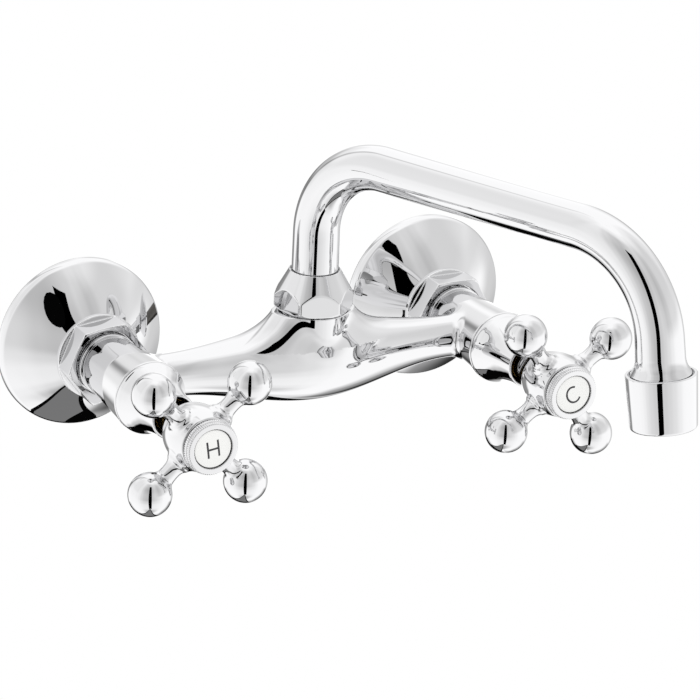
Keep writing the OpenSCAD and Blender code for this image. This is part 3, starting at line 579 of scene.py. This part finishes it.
# Aerator housing: a tapered brass sleeve, plated, screwed on the nozzle. It holds a rubber washer
# and the drilled insert.
sleeve_top_r, sleeve_end_r, sleeve_l, sleeve_bore_r, outlet_r = 13.0, 12.2, 20.0, 11.3, 10.2
lead_r, lead_l, ledge_l = sleeve_top_r - 1.1, 1.6, 1.5
sleeve = lathe("aerator housing",
               rounded([(lead_r, 0, 0.1), (sleeve_top_r, 0, 0.3), (sleeve_end_r, sleeve_l, 0.9),
                        (outlet_r, sleeve_l, 0.2), (outlet_r, sleeve_l - ledge_l, 0),
                        (sleeve_bore_r, sleeve_l - ledge_l, 0), (sleeve_bore_r, lead_l, 0),
                        (lead_r, lead_l, 0)]),
               upright=True)
outlet = bend_end + outlet_way * drop
down = to_world @ np.array([outlet_way[0], 0, outlet_way[1]])
across = to_world @ np.array([0, 1, 0])
third = np.cross(down, across)
spot = to_world @ np.array([outlet[0], 0, outlet[1]]) + spout_foot
sleeve.transform(Matrix([[across[i], third[i], down[i], spot[i] * MM] for i in range(3)]
                        + [[0, 0, 0, 1]]))
put(sleeve, "aerator_sleeve", chrome, "swivel_spout", ["aerator_housing"])

# Inner pieces keep their imported solids: wall unions, headworks, spindles and screws in brass,
# rubber and fibre seals, ceramic discs, and bearings and insert moulded in acetal. Turning and
# moulding leave marks of 0.1 to 0.5 mm, and these are drawn some millimetres wide to show.

# Nickel plate gone dull, and drawn darker still as painted shade: a dark grey that mirrors only
# light and shade, no pictures.
plated = surface_of("dull nickel darkened as shade", "5a5855", 0.3, grain=4, metallic=1.0, relief=0.2)
# Brass as turned: a warm, satin yellow.
brass = surface_of("turned brass", "a98d56", 0.32, grain=4, metallic=1.0, relief=0.2)
# Nitrile rubber, moulded: matt and almost black, with a soft sheen.
rubber = surface_of("black rubber", "232325", 0.62, grain=2, relief=0.3)
# Alumina, lapped flat: ivory white with an even, smooth gloss.
ceramic = surface_of("lapped ceramic", "efece4", 0.18, grain=5)
# Vulcanised fibre, punched from sheet: matt blue grey, like hard card.
fibre = surface_of("vulcanised fibre", "6d7274", 0.7, grain=1.43, relief=0.4)
# Acetal, moulded: milk white with a waxy half gloss.
acetal = surface_of("acetal", "ebebe6", 0.34, grain=3.33)
kinds = (("_wall_union", plated), ("_inlet_washer", rubber), ("_seal", rubber),
         ("o_ring", rubber), ("o_rings", rubber), ("aerator_washer", rubber), ("_disc", ceramic),
         ("_gasket", fibre), ("spout_slip_washer", acetal), ("spout_bush", acetal),
         ("aerator_insert", acetal), ("", brass))
for node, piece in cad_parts.items():
    if not piece.hide_render:
        piece.data.materials.clear()
        piece.data.materials.append(next(kind for end, kind in kinds if node.endswith(end)))

# Studio: a white floor in a white room, which light the mixer softly from all round. The camera,
# mirrors and glass see both as plain white.
CAMERA_TURN = math.radians(-28.36)


def seen_as_background(tree):
    """One for the camera and in mirrors and glass, and nought for all other light."""
    path = add(tree, "LightPath", {}, {})
    seen = add(tree, "Math", {"operation": "MAXIMUM"},
               {0: path.outputs["Is Camera Ray"], 1: path.outputs["Is Glossy Ray"]})
    return add(tree, "Math", {"operation": "MAXIMUM"},
               {0: seen.outputs["Value"], 1: path.outputs["Is Transmission Ray"]})


world = bpy.data.worlds.new("white room")
bpy.context.scene.world = world
tree = empty_tree(world)
seen = seen_as_background(tree)
level = add(tree, "MapRange", {"To Min": 0.9, "To Max": 1.0}, {"Value": seen.outputs["Value"]})
sky = add(tree, "Background", {"Color": (1, 1, 1, 1)}, {"Strength": level.outputs["Result"]})
add(tree, "OutputWorld", {}, {"Surface": sky.outputs["Background"]})


def staged(name, points, faces, material, mirrored_only=True):
    mesh = bpy.data.meshes.new(name)
    mesh.from_pydata(points, [], faces)
    mesh.materials.append(material)
    thing = bpy.data.objects.new(name, mesh)
    bpy.context.scene.collection.objects.link(thing)
    if mirrored_only:
        thing.visible_camera = thing.visible_shadow = thing.visible_diffuse = False
    return thing


# Matt white paint: it takes the mixer's soft shadow and shows nothing else.
paint = bpy.data.materials.new("white floor")
tree = empty_tree(paint)
seen = seen_as_background(tree)
plain = add(tree, "BsdfDiffuse", {"Color": colour("f2f2f2")}, {})
bright = add(tree, "Emission", {"Color": (1, 1, 1, 1), "Strength": 1.0}, {})
mix = add(tree, "MixShader", {},
          {0: seen.outputs["Value"], 1: plain.outputs["BSDF"], 2: bright.outputs["Emission"]})
add(tree, "OutputMaterial", {}, {"Surface": mix.outputs["Shader"]})
floor_half, floor_z = 6, -2.5
staged("floor", [(-floor_half, -floor_half, floor_z), (floor_half, -floor_half, floor_z),
                 (floor_half, floor_half, floor_z), (-floor_half, floor_half, floor_z)],
       [(0, 1, 2, 3)], paint, mirrored_only=False)

# Light tent: white cloth all round the mixer, seen only in the chrome. The slit through which
# the camera looks is the black line down every round form, and the cloth is grey beside it,
# behind the mixer and in its corners, where less light falls on it.

# Tent cloth, woven and lit from outside: it gives the chrome its white and soft greys.
cloth = bpy.data.materials.new("tent cloth")
tree = empty_tree(cloth)
where = add(tree, "TexCoord", {}, {})
ray = add(tree, "VectorMath", {"operation": "NORMALIZE"}, {0: where.outputs["Object"]})
part = add(tree, "SeparateXYZ", {}, {0: ray.outputs["Vector"]})
front = add(tree, "Math", {"operation": "MULTIPLY", 1: -1.0}, {0: part.outputs["Y"]})
azimuth = add(tree, "Math", {"operation": "ARCTAN2"},
              {0: part.outputs["X"], 1: front.outputs["Value"]})
aside = add(tree, "Math", {"operation": "ABSOLUTE"}, {0: azimuth.outputs["Value"]})
rise = add(tree, "Math", {"operation": "ARCSINE"}, {0: part.outputs["Z"]})
# Each grey patch has its level round the tent and its level up the tent, through stops of
# (degrees, level). Azimuth 0 is the slit, and rise 0 is level.
patches = (
    # beside the slit
    ([(-75, 0.0), (-64, 0.05), (-50, 0.2), (-41, 0.36), (-27, 0.52), (-14, 0.6), (14, 0.48),
      (27, 0.38), (41, 0.28), (56, 0.14), (70, 0.02), (80, 0.0)],
     [(-90, 1.2), (-68, 1.2), (-58, 0.5), (-50, 0.25), (-35, 0.3), (-20, 0.6), (-8, 0.9),
      (10, 0.85), (38, 1.05), (62, 0.8), (74, 0.2), (80, 0.0)]),
    # far left
    ([(-142, 0.0), (-134, 0.5), (-126, 0.1), (-100, 0.22), (-70, 0.22), (-50, 0.0)],
     [(-40, 0.0), (-20, 0.15), (5, 0.4), (20, 0.9), (50, 1.0), (70, 0.5), (85, 0.0)]),
    # corners behind
    ([(-170, 0.0), (-160, 0.85), (-138, 0.8), (-126, 0.0), (122, 0.0), (138, 0.4), (162, 0.7),
      (172, 0.0)],
     [(-75, 0.4), (-40, 1.0), (-4, 1.0), (10, 0.5), (28, 0.2), (40, 0.0)]),
    # upper right
    ([(20, 0.0), (55, 0.34), (100, 0.36), (125, 0.2), (140, 0.0)],
     [(-2, 0.0), (12, 0.8), (30, 1.0), (52, 1.0), (72, 0.3), (80, 0.0)]),
    # straight behind, low
    ([(-174, 1.0), (-162, 0.45), (-125, 0.45), (-105, 0.0), (105, 0.0), (125, 0.4), (168, 0.4),
      (180, 1.0)],
     [(-70, 0.0), (-60, 1.05), (-36, 1.05), (-29, 0.0), (-6, 0.0), (4, 0.35), (14, 0.35),
      (25, 0.0)]))
shade = None
for patch in patches:
    levels = []
    for source, limit, stops in ((azimuth, 180, patch[0]), (rise, 90, patch[1])):
        share = add(tree, "MapRange",
                    {"From Min": math.radians(-limit), "From Max": math.radians(limit)},
                    {"Value": source.outputs["Value"]})
        ramp = add(tree, "ValToRGB", {}, {"Fac": share.outputs["Result"]})
        ramp.color_ramp.interpolation = "EASE"
        while len(ramp.color_ramp.elements) < len(stops):
            ramp.color_ramp.elements.new(0.5)
        for element, (place, grey) in zip(ramp.color_ramp.elements, stops):
            element.position = (place + limit) / (2 * limit)
            element.color = (grey, grey, grey, 1)
        levels.append(ramp.outputs["Color"])
    part = add(tree, "Math", {"operation": "MULTIPLY"}, {0: levels[0], 1: levels[1]})
    if shade:
        part = add(tree, "Math", {"operation": "ADD"},
                   {0: part.outputs["Value"], 1: shade.outputs["Value"]})
    shade = part
cloth_light, shade_depth = 1.33, 1.21
slit_half, slit_top, slit_foot = math.radians(7.7), math.radians(55), math.radians(-54)
light = add(tree, "Math", {"operation": "MULTIPLY_ADD", 1: -shade_depth, 2: cloth_light},
            {0: shade.outputs["Value"]})
light = add(tree, "Math", {"operation": "MAXIMUM", 1: 0.0}, {0: light.outputs["Value"]})
beyond = add(tree, "Math", {"operation": "GREATER_THAN", 1: slit_half},
             {0: aside.outputs["Value"]})
over = add(tree, "Math", {"operation": "GREATER_THAN", 1: slit_top}, {0: rise.outputs["Value"]})
below = add(tree, "Math", {"operation": "LESS_THAN", 1: slit_foot}, {0: rise.outputs["Value"]})
outside = add(tree, "Math", {"operation": "MAXIMUM"},
              {0: over.outputs["Value"], 1: below.outputs["Value"]})
sheeted = add(tree, "Math", {"operation": "MAXIMUM"},
              {0: beyond.outputs["Value"], 1: outside.outputs["Value"]})
strength = add(tree, "Math", {"operation": "MULTIPLY"},
               {0: sheeted.outputs["Value"], 1: light.outputs["Value"]})
glow = add(tree, "Emission", {"Color": (1, 1, 1, 1)}, {"Strength": strength.outputs["Value"]})
add(tree, "OutputMaterial", {}, {"Surface": glow.outputs["Emission"]})
rows, columns, tent_r = 24, 48, 0.95
tent_points = [(tent_r * math.sin(math.pi * i / rows) * math.sin(2 * math.pi * j / columns),
                tent_r * math.sin(math.pi * i / rows) * math.cos(2 * math.pi * j / columns),
                tent_r * math.cos(math.pi * i / rows))
               for i in range(rows + 1) for j in range(columns)]
tent_faces = [(i * columns + j, i * columns + (j + 1) % columns,
               (i + 1) * columns + (j + 1) % columns, (i + 1) * columns + j)
              for i in range(rows) for j in range(columns)]
tent = staged("light tent", tent_points, tent_faces, cloth)
middle = Vector((0.0, -0.08, 0.02))
tent.location = middle
tent.rotation_euler = (0, 0, CAMERA_TURN)


# Table and flag: a dark table under the mixer, with a grey top inside a black edge, and a small
# black card on a stand before the hot wall plate. Like the tent, they are seen only in the chrome.
def even_tone(name, level):
    """Matt finish that gives back one level of light to every side."""
    material = bpy.data.materials.new(name)
    tree = empty_tree(material)
    tone = add(tree, "Emission", {"Color": (level, level, level, 1)}, {})
    add(tree, "OutputMaterial", {}, {"Surface": tone.outputs["Emission"]})
    return material


# Black felt: it gives next to no light back, and so the chrome's deepest black.
felt = even_tone("black felt", 0.002)
# Board, painted grey: an even middle grey inside the black.
board = even_tone("grey painted board", 0.24)
for name, top, at, corners in (
        ("black table edge", felt, -0.45,
         [(-0.03, -0.41), (0.03, -0.41), (0.075, 0.45), (-0.19, 0.45), (-0.225, 0.12)]),
        ("grey table top", board, -0.446,
         [(-0.02, -0.385), (0.01, -0.385), (0.035, 0.1), (-0.19, 0.1)])):
    table = staged(name, [(x, y, at) for x, y in corners], [range(len(corners))], top)
    table.rotation_euler = (0, 0, CAMERA_TURN)
flag_half_w, flag_half_h, flag_distance = 0.012, 0.021, 0.065
flag_way = Vector((-0.41, -0.69, 0.605)).normalized()
flag = staged("black flag", [(flag_half_w * math.cos(a), flag_half_h * math.sin(a), 0)
                             for a in np.radians(range(0, 360, 20))], [range(18)], felt)
flag.location = Vector((-0.0875, -0.0075, 0.0195)) + flag_distance * flag_way
flag.rotation_euler = flag_way.to_track_quat("Z", "Y").to_euler()

# Lamps: two square soft boxes, the key from the camera's side and the fill from the right. They
# light only what isn't a mirror, such as the enamel and the seals.
for name, spot, power in (("key lamp", (-0.9, -1.2, 1.4), 6.0),
                          ("fill lamp", (1.3, -0.9, 0.8), 3.0)):
    lamp = bpy.data.lights.new(name, "AREA")
    lamp.energy = power
    lamp.size = 0.9
    stand = bpy.data.objects.new(name, lamp)
    bpy.context.scene.collection.objects.link(stand)
    stand.location = spot
    stand.rotation_euler = (middle - Vector(spot)).to_track_quat("-Z", "Y").to_euler()
    stand.visible_glossy = False

# Camera: where the photograph was taken from, 1.4 m away, to the left and above, rolled a
# little. It looks at a point between the barrels and the spout.
height, roll, distance = math.radians(20.36), math.radians(2.61), 1.39864
back = np.array([math.sin(CAMERA_TURN) * math.cos(height),
                 -math.cos(CAMERA_TURN) * math.cos(height), math.sin(height)])
right = np.array([math.cos(CAMERA_TURN), math.sin(CAMERA_TURN), 0])
up = np.cross(back, right)
right, up = (math.cos(roll) * right + math.sin(roll) * up,
             math.cos(roll) * up - math.sin(roll) * right)
eye = np.array([-0.00004, -0.08152, 0.0222]) + back * distance
lens = bpy.data.cameras.new("camera")
lens.lens = 192.07
lens.sensor_width = 36
lens.clip_end = 50
camera = bpy.data.objects.new("camera", lens)
bpy.context.scene.collection.objects.link(camera)
camera.matrix_world = Matrix([[right[i], up[i], back[i], eye[i]] for i in range(3)]
                             + [[0, 0, 0, 1]])
bpy.context.scene.camera = camera
bpy.context.scene.view_settings.view_transform = "Standard"
